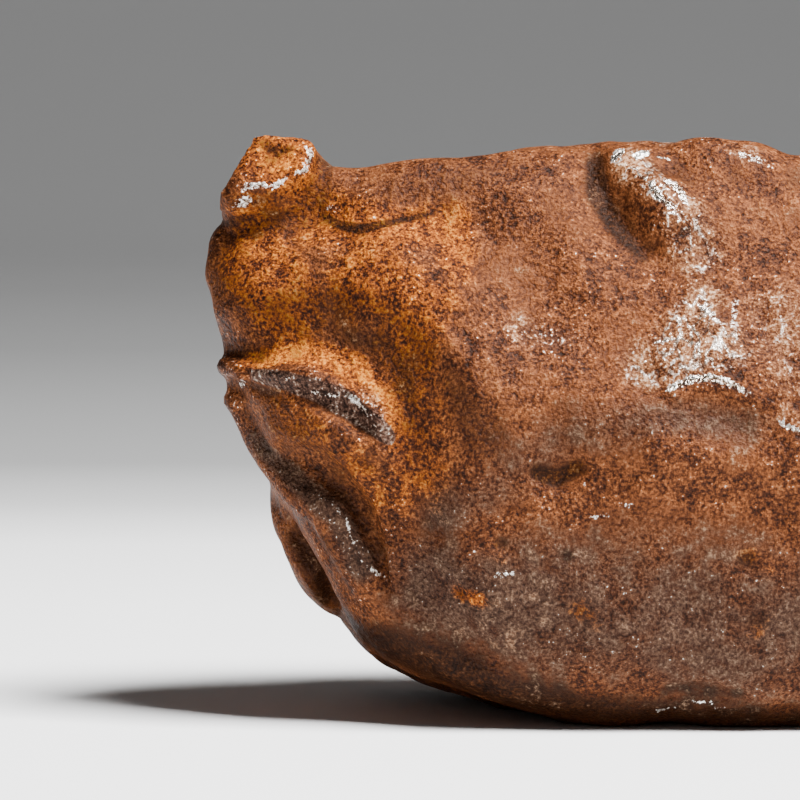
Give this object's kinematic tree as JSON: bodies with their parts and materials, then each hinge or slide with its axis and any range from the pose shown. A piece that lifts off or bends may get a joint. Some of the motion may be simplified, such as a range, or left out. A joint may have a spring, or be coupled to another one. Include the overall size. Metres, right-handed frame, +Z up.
{
  "type": "iron meteorite",
  "caption": "Whole rusted iron meteorite: a natural lump with a small horn, a knob, folded ledges, pits and thumbprint dents, resting on a flat patch.",
  "frame": {"origin": "middle of the footprint, on the surface that the lump rests on", "axes": "+X along the length away from the horned end, +Y from the side shown in the picture to the back, +Z up"},
  "size_m": [0.055, 0.0274, 0.0342],
  "materials": {
    "rusted_iron": "natural rust over nickel iron, half dull, with bare metal on the raised edges"
  },
  "bodies": {
    "root": {"meteorite": "rusted_iron"}
  },
  "joints": []
}
